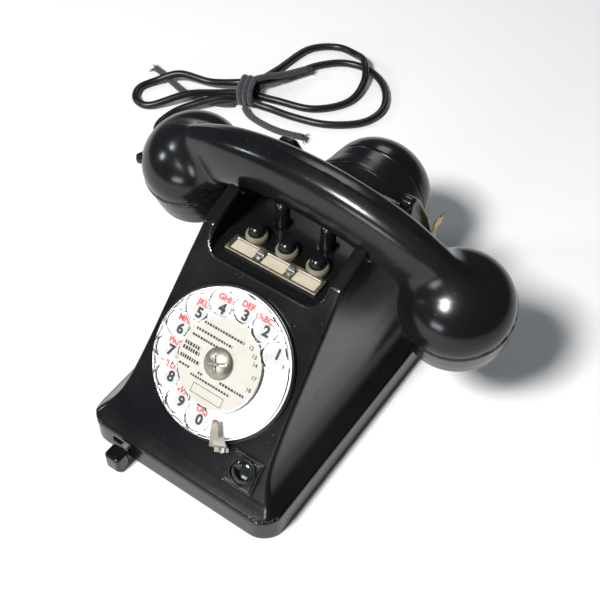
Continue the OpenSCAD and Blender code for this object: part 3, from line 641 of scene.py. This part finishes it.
def wheel_field(x, y, z):
    r = np.hypot(x, y)
    d = smax(r - 38, np.abs(z - 3.78) - 0.82, 0.4)
    d = smin(d, smax(np.abs(r - 37.5) - 0.5, np.abs(z - 4.4) - 1.2, 0.5), 0.4)
    d = smin(d, smax(np.abs(r - 24.2) - 0.7, np.abs(z - 4.4) - 1.1, 0.4), 0.4)
    near = np.full(np.broadcast(x, y).shape, 1e9)
    for hx, hy in HOLES:
        near = np.minimum(near, np.hypot(x - hx, y - hy))
    d = smin(d, smax(np.abs(near - 7.1) - 0.5, np.abs(z - 4.2) - 1.3, 0.5), 0.5)
    d = smax(d, 6.6 - near, 0.35)
    d = np.maximum(d, r - 38)
    return np.maximum(d, 2.6 - r)


wheel = solid("finger_wheel_moulding", wheel_field, (-40, -40, 2), (40, 40, 6.4), 0.5, "dial", DIAL, 60)
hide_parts("finger_wheel")


def hub_field(x, y, z):
    r = np.hypot(x, y)
    d = smax(np.hypot(r, z + 5.2) - 13.6, r - 8.25, 0.5)
    d = smax(d, 4.93 - z, 0.2)
    for a in (25, 115):
        c, s = math.cos(math.radians(a)), math.sin(math.radians(a))
        d = smax(d, -np.maximum(np.abs(-s * x + c * y) - (0.55 if a == 25 else 0.28), 7.3 - z), 0.15)
    return d


hub = solid("centre_cap_dome", hub_field, (-9, -9, 4), (9, 9, 9.4), 0.35, "dial", DIAL, 40)
hub_pin = piece("centre_cap_pin", *lathe([(0, 4.15), (2.4, 4.15), (2.4, 5), (0, 5)], 32), "dial", DIAL)
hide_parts("centre_cap")


def glyphs(text, size, bold=0.0):
    data = bpy.data.curves.new("glyph", "FONT")
    data.body = text
    data.size = size
    data.align_x, data.align_y = "CENTER", "CENTER"
    data.extrude = 0.02
    data.offset = bold
    data.resolution_u = 5
    obj = bpy.data.objects.new("glyph", data)
    bpy.context.scene.collection.objects.link(obj)
    mesh = bpy.data.meshes.new_from_object(obj.evaluated_get(bpy.context.evaluated_depsgraph_get()))
    part = [tuple(v.co) for v in mesh.vertices], [list(f.vertices) for f in mesh.polygons]
    bpy.data.objects.remove(obj)
    bpy.data.curves.remove(data)
    bpy.data.meshes.remove(mesh)
    return part


def shifted(part, x, y, z=0.0):
    return moved(part, Matrix.Translation((x, y, z)))


# each hole's digit and letters on the plate, as they sit under the clear wheel
PRINTS = [("1", 25.5, 18.0, "", 0, 0), ("2", 14.9, 25.1, "ABC", 12.4, 30.4), ("3", 1.4, 26.9, "DEF", 0.9, 32.2),
          ("4", -11.6, 24.2, "GHI", -12.3, 29.8), ("5", -22.3, 16.5, "JKL", -22.4, 22.1),
          ("6", -28.6, 4.5, "MN", -28.6, 10.2), ("7", -28.8, -7.8, "PRS", -28.6, -2.4),
          ("8", -22.9, -19.8, "TUV", -24.4, -14.4), ("9", -12.2, -28.4, "WXY", -12.2, -22.9),
          ("0", 1.0, -31.6, "OQ", 0.6, -26.4)]
marks, reds = [], []
for digit, hx, hy, letters, lx, ly in PRINTS:
    marks.append(shifted(glyphs(digit, 7.6, 0.32), hx, hy, 1.73))
    if letters:
        reds.append(shifted(glyphs(letters, 4.3, 0.15), lx, ly, 1.73))
digits = piece("dial_digits", *merge(*marks), PHONE, DIAL, smooth=False)
red_letters = piece("dial_letters", *merge(*reds), PHONE, DIAL, smooth=False)

rows = []
# plain bars where a card carries words: x from, x to, y and height
BARS = [(-16, 8.4, 15.2, 1.3), (-18.7, 3.2, 10.6, 1.3), (-19.6, -3.6, 6.9, 1.3), (-21.6, -12.2, 1.6, 1.9),
        (-21.8, -11.6, -1.1, 1.9), (-21.6, -9.6, -5.4, 1.9), (-20.4, -14, -9.4, 1.2), (-8.6, -5.6, -9.4, 1.2),
        (4.6, 19.6, -8.4, 1.3), (-12, 12.4, -11.8, 1.2)]
for k, (x0, x1, yy, tall) in enumerate(BARS):
    rnd = random.Random(40 + k)
    x = x0
    while x < x1:
        w = rnd.uniform(0.9, 1.5)
        rows.append(prism(rect(x, yy - tall / 2, min(x + w, x1), yy + tall / 2), 4.91, 4.95))
        x += w + rnd.uniform(0.35, 0.55)
for label, nx, ny in (("12", 12.6, 15.2), ("13", 16, 12), ("14", 18, 8.6),
                      ("17", 20.2, 2.4), ("18", 20.2, -4)):
    rows.append(shifted(glyphs(label, 2.9, 0.07), nx, ny, 4.93))
for x0, y0, x1, y1 in ((-8.6, -19.7, 10.3, -19.4), (-8.6, -14.9, 10.3, -14.6), (-8.6, -19.7, -8.3, -14.6),
                       (10.0, -19.7, 10.3, -14.6)):
    rows.append(prism(rect(x0, y0, x1, y1), 4.91, 4.95))
card_print = piece("card_print", *merge(*rows), "dial", DIAL, smooth=False)

STOP = DIAL @ Matrix.Rotation(math.radians(-64), 4, "Z")


def strip(points, width, thick):
    """Sheet strip bent along points in x and z, of varying width in y."""
    pts = [Vector((p[0], p[1])) for p in points]
    verts, faces = [], []
    n = len(pts)
    for i, p in enumerate(pts):
        d = (pts[min(i + 1, n - 1)] - pts[max(i - 1, 0)]).normalized()
        m = Vector((-d.y, d.x)) * thick / 2
        w = width[i] / 2
        for a, b in ((-w, -1), (-w, 1), (w, 1), (w, -1)):
            verts.append((p.x + b * m.x, a, p.y + b * m.y))
    for i in range(n - 1):
        for k in range(4):
            faces.append([4 * i + k, 4 * i + (k + 1) % 4, 4 * i + 4 + (k + 1) % 4, 4 * i + 4 + k])
    faces.append([3, 2, 1, 0])
    faces.append([4 * n - 4, 4 * n - 3, 4 * n - 2, 4 * n - 1])
    return verts, faces


stop_line = [(44.4, 0.5), (42.8, 0.5), (41.6, 0.7), (41.0, 1.6), (40.8, 3.4), (40.7, 6.0), (40.3, 7.4),
             (39.4, 8.0), (37, 8.05), (33, 8.0), (30, 7.8), (28.2, 7.2), (27.6, 6.5)]
stop_width = [8.2, 8.4, 8.4, 8.2, 7.8, 7.0, 6.4, 5.8, 5.2, 4.6, 4.0, 3.2, 2.4]
fold_line = [(41.2, 4.6), (41.0, 7.0), (39.8, 8.3), (37.6, 8.5), (35.4, 8.4)]
stop = piece("finger_stop_plate", *merge(
    moved(strip(stop_line, stop_width, 0.8), Matrix.Translation((0, -0.6, 0))),
    moved(strip(fold_line, [5.0, 5.4, 5.2, 4.2, 3.0], 0.6), Matrix.Translation((0, 3.6, 0))),
    moved(lathe(rounded([(0, 0.8), (1.9, 0.8), (1.9, 1.8), (0, 2.1)], [0, 0, 0.4, 0], 4), 32),
          Matrix.Translation((43.0, 0, 0)))), PHONE, STOP, angle=40)
stop.modifiers.new("bevel", "BEVEL").width = 0.00012
stop.modifiers["bevel"].segments = 2
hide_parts("finger_stop")

# ------------------------------------------------ label strip and buttons

WINDOWS = (-18.6, 0, 18.6)


def frame_field(x, y, z):
    d = smax(box2(x, y, -27.7, -17.4, 27.7, -6.5, 0.8), np.abs(z - 92.86) - 0.84, 0.45)
    for c in WINDOWS:
        hole = box2(x, y, c - 6.6, -15.3, c + 6.6, -9.1, 0.4)
        d = smax(d, -(hole - 0.7 * np.clip(z - 92.7, 0, 1.0)), 0.2)
        d = smax(d, 6.1 - np.hypot(x - c, y + 1.8), 0.2)
    return d


label_frame = solid("label_frame_plate", frame_field, (-29, -19, 91.5), (29, -5, 94.4), 0.42,
                    PHONE, angle=50)
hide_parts("label_frame")

collars, knobs = [], []
collar_line = rounded([(4.25, 86.1), (5.2, 86.1), (5.2, 92.05), (6.0, 92.05), (6.0, 94.7),
                       (5.5, 95.6), (5.3, 96.1),
                       (4.5, 96.1), (4.25, 95.4)], [0, 0, 0, 0.2, 0.6, 0.3, 0.3, 0.3, 0.3], 4)
button_line = rounded([(0, 68.05), (1.9, 68.05), (1.9, 80.6), (4.1, 80.6), (4.1, 99.4),
                       (2.6, 100.7), (0, 100.5)],
                      [0, 0, 0, 0, 1.4, 1.2, 0], 5)
for i, c in enumerate(WINDOWS):
    spot = Matrix.Translation((c, -1.8, 0))
    collars.append(moved(lathe(collar_line, 72), spot))
    knob = piece(f"push_button_{i + 1}_cap", *lathe(button_line, 64), f"button_{i + 1}", spot, angle=50)
    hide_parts(f"push_button_{i + 1}")
    knobs.append(knob)
collar_ring = piece("button_collar_rings", *merge(*collars), PHONE, angle=50)
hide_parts("button_collars")

# -------------------------------------------------------- indicator window


def window_field(x, y, z):
    d = smax(box2(x, y, -9.3, -9.3, 9.3, 9.3, 1.0), np.abs(z - 0.47) - 0.43, 0.2)
    for half_side in (8.5, 7.3):
        edge = np.abs(box2(x, y, -half_side, -half_side, half_side, half_side, 0.6))
        d = np.maximum(d, 0.3 - np.hypot(edge, z - 0.95))
    return np.maximum(d, 6.6 - np.hypot(x, y))


window_plate = solid("indicator_plate_square", window_field, (-10, -10, -0.6), (10, 10, 1.4), 0.3,
                     PHONE, WINDOW, 50)
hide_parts("indicator_plate")
window_ring = skin("indicator_ring_bezel", [(6.62, 0.93), (7.7, 0.93), (7.7, 1.7), (7.1, 2.2), (6.62, 2.1)],
                   [0, 0, 0.3, 0.3, 0.15], PHONE, WINDOW, 5, 96, "indicator_ring")
lens_line = [(0, 0.25), (6.5, 0.25), (6.5, 0.9)]
lens_line += [(6.5 * math.cos(a), 0.9 + 1.9 * math.sin(a)) for a in np.linspace(0.1, math.pi / 2, 16)]
lens = piece("indicator_lens_dome", *lathe(lens_line, 96), PHONE, WINDOW, angle=40)
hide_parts("indicator_lens")
halo = skin("indicator_inner_ring", [(4.3, -0.9), (6.5, -0.9), (6.5, -0.2), (4.6, -0.5)], [0.1] * 4,
            PHONE, WINDOW, 3, 72)

# ------------------------------------------------ lever, strip, gland, rest


def knob_field(x, y, z):
    flat = box2(x, y, -38.1, -112, -28.3, -103.3, 2.2)
    return smax(flat, np.abs(z - 7.1) - 5.85, 1.6)


lever = solid("lever_knob_block", knob_field, (-40, -114, 0), (-26, -101, 14), 0.5, "lever")
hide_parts("lever_knob")

strip_line = [(44.65, 52), (43.75, 68), (44.6, 75), (46.2, 81), (46.6, 86), (48.4, 90)]
dense = curve(strip_line, 1.0)
bent = strip([(x + 0.6, z) for x, z in dense], [8.4] * (len(dense) - 4) + [8.2, 7.8, 7.0, 5.6], 1.1)
hook_strip = piece("hook_strip_plate", *moved(bent, Matrix.Translation((0, 69.25, 0))), PHONE, angle=40)
hook_strip.modifiers.new("bevel", "BEVEL").width = 0.00025
hook_strip.modifiers["bevel"].segments = 2
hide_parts("hook_strip")

sleeve_path = resample(line_path[:13], 1.0)[:22]
sleeve = sweep(sleeve_path, 1.0, 28, lambda i, k: (4.6 - 1.7 * min(1, i / 20)) * (0.93 if i % 4 == 3 else 1))
gland_line = rounded([(2.65, 90.1), (4.5, 90.1), (4.5, 94.05), (5.6, 94.1), (5.4, 95.6),
                      (4.4, 96.9), (2.65, 96.9)],
                     [0, 0, 0, 0.4, 0.5, 0.5, 0], 4)
gland = piece("cord_gland_sleeve", *merge(
    moved(lathe(gland_line, 48), Matrix.Translation((-46, 0, 8)) @ Matrix.Rotation(math.radians(-90), 4, "X")),
    sleeve), PHONE, angle=50)
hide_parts("cord_gland")

# ---------------------------------------------------------------- materials


def nodes_of(name):
    m = bpy.data.materials.new(name)
    m.use_nodes = True
    return m, m.node_tree, m.node_tree.nodes["Principled BSDF"]


def add(tree, kind, links=(), **values):
    n = tree.nodes.new(kind)
    for key, value in values.items():
        if hasattr(n, key):
            setattr(n, key, value)
        else:
            n.inputs[key.replace("_", " ")].default_value = value
    for socket, source in links:
        tree.links.new(source, n.inputs[socket])
    return n


def space(tree, scale=(1, 1, 1), turn=(0, 0, 0)):
    c = add(tree, "ShaderNodeTexCoord")
    m = add(tree, "ShaderNodeMapping", [("Vector", c.outputs["Object"])])
    m.inputs["Scale"].default_value = scale
    m.inputs["Rotation"].default_value = turn
    return m.outputs[0]


def noise(tree, scale, detail=3.0, rough=0.55, stretch=(1, 1, 1), turn=(0, 0, 0)):
    n = add(tree, "ShaderNodeTexNoise", [("Vector", space(tree, stretch, turn))])
    n.inputs["Scale"].default_value = scale
    n.inputs["Detail"].default_value = detail
    n.inputs["Roughness"].default_value = rough
    return n.outputs["Fac"]


def ramp(tree, source, lo, hi, a=0.0, b=1.0):
    n = add(tree, "ShaderNodeMapRange", [("Value", source)])
    n.inputs["From Min"].default_value = lo
    n.inputs["From Max"].default_value = hi
    n.inputs["To Min"].default_value = a
    n.inputs["To Max"].default_value = b
    return n.outputs[0]


def calc(tree, op, a, b):
    n = tree.nodes.new("ShaderNodeMath")
    n.operation = op
    for socket, v in zip(n.inputs, (a, b)):
        if isinstance(v, (int, float)):
            socket.default_value = v
        else:
            tree.links.new(v, socket)
    return n.outputs[0]


def blend_colour(tree, fac, a, b):
    n = tree.nodes.new("ShaderNodeMix")
    n.data_type = "RGBA"
    tree.links.new(fac, n.inputs[0])
    for socket, v in ((n.inputs[6], a), (n.inputs[7], b)):
        if isinstance(v, tuple):
            socket.default_value = (*v, 1)
        else:
            tree.links.new(v, socket)
    return n.outputs[2]


def bump(tree, shader, height, strength, distance=0.0002):
    n = add(tree, "ShaderNodeBump", [("Height", height)])
    n.inputs["Strength"].default_value = strength
    n.inputs["Distance"].default_value = distance
    tree.links.new(n.outputs[0], shader.inputs["Normal"])


def moulded(name, base, rough, dust=1.0, scratch=0.3, dusty=(0.30, 0.28, 0.25)):
    """Polished plastic with faint haze, dust specks and hair scratches."""
    m, t, s = nodes_of(name)
    cells = add(t, "ShaderNodeTexVoronoi", [("Vector", space(t))])
    cells.inputs["Scale"].default_value = 420
    speck = ramp(t, cells.outputs["Distance"], 0.10, 0.05)
    pick = ramp(t, noise(t, 160, 2), 0.57, 0.63)
    speck = calc(t, "MULTIPLY", calc(t, "MULTIPLY", speck, pick), 0.55 * dust)
    haze = ramp(t, noise(t, 22, 5, 0.6), 0.35, 0.75)
    film = calc(t, "ADD", calc(t, "MULTIPLY", haze, 0.012 * dust), speck)
    t.links.new(blend_colour(t, film, base, dusty), s.inputs["Base Color"])
    hair = ramp(t, noise(t, 60, 2, 0.5, (30, 1, 1), (0.4, 0.2, 0.7)), 0.66, 0.72)
    r = calc(t, "ADD", calc(t, "MULTIPLY", haze, 0.09), rough)
    r = calc(t, "ADD", r, calc(t, "MULTIPLY", calc(t, "ADD", speck, calc(t, "MULTIPLY", hair, 0.1)), 0.5))
    t.links.new(r, s.inputs["Roughness"])
    fine = calc(t, "ADD", noise(t, 1400, 2), calc(t, "MULTIPLY", hair, -scratch))
    bump(t, s, calc(t, "ADD", fine, calc(t, "MULTIPLY", noise(t, 90, 2), 2.0)), 0.06, 0.0001)
    s.inputs["IOR"].default_value = 1.4
    return m


def metal(name, base, worn, rough, grain=(1, 1, 1), amount=0.4, metallic=1.0, size=120):
    m, t, s = nodes_of(name)
    patch = ramp(t, noise(t, size, 6, 0.65), 0.48, 0.64)
    fine = noise(t, 2200, 2, 0.5, grain)
    mask = calc(t, "MULTIPLY", patch, amount)
    t.links.new(blend_colour(t, mask, base, worn), s.inputs["Base Color"])
    r = calc(t, "ADD", calc(t, "MULTIPLY", patch, 0.25 * amount), calc(t, "MULTIPLY", fine, 0.16))
    t.links.new(calc(t, "ADD", r, rough), s.inputs["Roughness"])
    t.links.new(calc(t, "SUBTRACT", metallic, calc(t, "MULTIPLY", mask, 0.55)), s.inputs["Metallic"])
    bump(t, s, calc(t, "ADD", fine, patch), 0.12, 0.0001)
    return m


def plain(name, base, second, rough, size=60, grain=900, strength=0.1, amount=0.5):
    m, t, s = nodes_of(name)
    patch = ramp(t, noise(t, size, 5, 0.6), 0.35, 0.7)
    t.links.new(blend_colour(t, calc(t, "MULTIPLY", patch, amount), base, second), s.inputs["Base Color"])
    t.links.new(calc(t, "ADD", calc(t, "MULTIPLY", patch, 0.12), rough), s.inputs["Roughness"])
    bump(t, s, noise(t, grain, 4), strength, 0.0001)
    return m


def clear(name, tint, rough=0.03):
    """Clear plastic whose shadow lets most light through."""
    m, t, s = nodes_of(name)
    s.inputs["Transmission Weight"].default_value = 1.0
    s.inputs["IOR"].default_value = 1.46
    worn = ramp(t, noise(t, 300, 4), 0.5, 0.75)
    t.links.new(blend_colour(t, worn, tint, tuple(0.96 * c for c in tint)), s.inputs["Base Color"])
    t.links.new(calc(t, "ADD", calc(t, "MULTIPLY", worn, 0.05), rough), s.inputs["Roughness"])
    path = add(t, "ShaderNodeLightPath")
    through = add(t, "ShaderNodeBsdfTransparent")
    through.inputs["Color"].default_value = (*[0.93 * c for c in tint], 1)
    both = add(t, "ShaderNodeMixShader", [(0, path.outputs["Is Shadow Ray"]), (1, s.outputs[0]),
                                          (2, through.outputs[0])])
    t.links.new(both.outputs[0], t.nodes["Material Output"].inputs["Surface"])
    return m


def textile(name, base, light, pitch=900):
    m, t, s = nodes_of(name)
    weave = add(t, "ShaderNodeTexWave", [("Vector", space(t, (1, 1, 1), (0.3, 0.5, 0.8)))])
    weave.inputs["Scale"].default_value = pitch / 3
    weave.inputs["Distortion"].default_value = 2.5
    fuzz = noise(t, 2600, 4)
    mix = calc(t, "MULTIPLY", calc(t, "ADD", weave.outputs["Fac"], fuzz), 0.5)
    t.links.new(blend_colour(t, mix, base, light), s.inputs["Base Color"])
    s.inputs["Roughness"].default_value = 0.85
    s.inputs["Sheen Weight"].default_value = 0.25
    bump(t, s, mix, 0.5, 0.0003)
    return m


MATERIALS = {
    "black_plastic": moulded("black_plastic", (0.0045, 0.0047, 0.0056), 0.17),
    "black_satin": moulded("black_satin", (0.0055, 0.0057, 0.0066), 0.22, 0.9),
    "white_plate": plain("white_plate", (0.47, 0.475, 0.475), (0.43, 0.425, 0.41), 0.3, 40, 700, 0.03, 0.5),
    "clear_plastic": clear("clear_plastic", (0.97, 0.98, 0.98)),
    "card": plain("card", (0.47, 0.45, 0.41), (0.41, 0.385, 0.33), 0.65, 90, 1500, 0.15, 0.6),
    "nickel": metal("nickel", (0.34, 0.32, 0.28), (0.14, 0.085, 0.035), 0.28, amount=0.5),
    "collar_plastic": plain("collar_plastic", (0.22, 0.20, 0.15), (0.10, 0.085, 0.055), 0.35,
                            160, 900, 0.1, 0.7),
    "steel": metal("steel", (0.55, 0.55, 0.55), (0.30, 0.28, 0.25), 0.32, (1, 20, 1)),
    "brass": metal("brass", (0.58, 0.42, 0.18), (0.20, 0.13, 0.06), 0.30),
    "rubber": plain("rubber", (0.015, 0.015, 0.015), (0.04, 0.04, 0.04), 0.6, 80, 1500, 0.2),
    "phenolic": plain("phenolic", (0.06, 0.035, 0.02), (0.11, 0.07, 0.04), 0.45, 90, 1200, 0.15),
    "coil_wire": metal("coil_wire", (0.35, 0.12, 0.04), (0.10, 0.04, 0.02), 0.35, (1, 1, 14), 0.5, 0.7),
    "bell_metal": metal("bell_metal", (0.62, 0.61, 0.58), (0.35, 0.33, 0.30), 0.18, amount=0.3),
    "can": metal("can", (0.60, 0.60, 0.59), (0.38, 0.37, 0.35), 0.38, (1, 1, 8)),
    "cord_rubber": moulded("cord_rubber", (0.007, 0.007, 0.008), 0.3, 0.7, 0.1),
    "tie_braid": textile("tie_braid", (0.010, 0.010, 0.013), (0.055, 0.055, 0.065)),
    "lens": clear("lens", (0.16, 0.17, 0.17), 0.05),
}
INK = plain("ink_black", (0.012, 0.012, 0.013), (0.03, 0.03, 0.03), 0.5)
RED = plain("ink_red", (0.55, 0.03, 0.03), (0.45, 0.04, 0.03), 0.5)
CREAM = plain("inner_ring", (0.42, 0.36, 0.22), (0.25, 0.20, 0.11), 0.4, 200)
CREAM_CARD = plain("label_paper", (0.56, 0.50, 0.38), (0.44, 0.38, 0.26), 0.6, 120, 1500, 0.12, 0.6)
EDGE = metal("frame_metal", (0.30, 0.28, 0.24), (0.24, 0.17, 0.07), 0.34, amount=0.6)


def dress(obj, material):
    obj.data.materials.clear()
    obj.data.materials.append(material)


def finish_as(slot, *pieces):
    for p in pieces:
        dress(p, MATERIALS[slot])


finish_as("black_plastic", housing, shell, ear_shell, lever, *knobs)
finish_as("black_satin", *cup_caps, ear_cap, ear_band, bezel, window_plate, window_ring)
finish_as("cord_rubber", line_cord)
finish_as("rubber", gland)
finish_as("tie_braid", tie_knot, *(tails[k][i] for k in tails for i in (0, 2)))
finish_as("clear_plastic", wheel)
finish_as("nickel", hub, hub_pin, stop, label_frame)
finish_as("collar_plastic", collar_ring)
finish_as("brass", hook_strip)
finish_as("lens", lens)
for p, m, s in ((digits, INK, "white_plate"), (red_letters, RED, "white_plate"), (card_print, INK, "card"),
                (halo, CREAM, "white_plate"), (label_frame, EDGE, "nickel")):
    dress(p, m)
for entry in frame["record"]["subparts"]:
    cad = frame["nodes"][entry["node"]]
    for k in range(max(1, len(cad.material_slots))):
        if len(cad.material_slots) == 0:
            cad.data.materials.append(MATERIALS[entry["material_slot"]])
        cad.material_slots[k].material = MATERIALS[entry["material_slot"]]
frame["nodes"]["label_cards"].material_slots[0].material = CREAM_CARD

# ------------------------------------------------------------ floor, lights

floor_mat, tree, shader = nodes_of("floor")
tone = ramp(tree, noise(tree, 3, 3), 0.3, 0.7)
FLOOR_LIGHT, FLOOR_DARK = (0.86, 0.86, 0.86), (0.84, 0.84, 0.845)
tree.links.new(blend_colour(tree, tone, FLOOR_LIGHT, FLOOR_DARK), shader.inputs["Base Color"])
shader.inputs["Roughness"].default_value = 0.75
floor_mesh = bpy.data.meshes.new("floor")
floor_mesh.from_pydata([(-4, -4, 0), (4, -4, 0), (4, 4, 0), (-4, 4, 0)], [], [[0, 1, 2, 3]])
floor = bpy.data.objects.new("floor", floor_mesh)
bpy.context.scene.collection.objects.link(floor)
dress(floor, floor_mat)


def lamp(name, at, aim, size, power, colour=(1, 1, 1), size_y=None):
    data = bpy.data.lights.new(name, "AREA")
    data.shape = "RECTANGLE"
    data.size = size
    data.size_y = size_y or size
    data.energy = power
    data.color = colour
    obj = bpy.data.objects.new(name, data)
    obj.location = at
    obj.rotation_euler = (Vector(aim) - Vector(at)).to_track_quat("-Z", "Y").to_euler()
    bpy.context.scene.collection.objects.link(obj)


lamp("key", (-0.19, -1.08, 1.5), (0, 0, 0.05), 0.34, 48, (1, 0.99, 0.97))
lamp("front", (-0.1, -1.5, 0.42), (0, 0, 0.08), 0.5, 5, (0.9, 0.95, 1), 0.25)
lamp("left", (-1.15, -0.66, 0.75), (0, 0, 0.08), 0.16, 3.4, (0.9, 0.96, 1))
lamp("back", (-0.5, 1.3, 1.2), (0, 0, 0.05), 0.5, 3.5)
world = bpy.data.worlds.new("studio")
world.use_nodes = True
world.node_tree.nodes["Background"].inputs["Color"].default_value = (0.72, 0.86, 1, 1)
world.node_tree.nodes["Background"].inputs["Strength"].default_value = 0.09
bpy.context.scene.world = world
bpy.context.scene.view_settings.view_transform = "Standard"
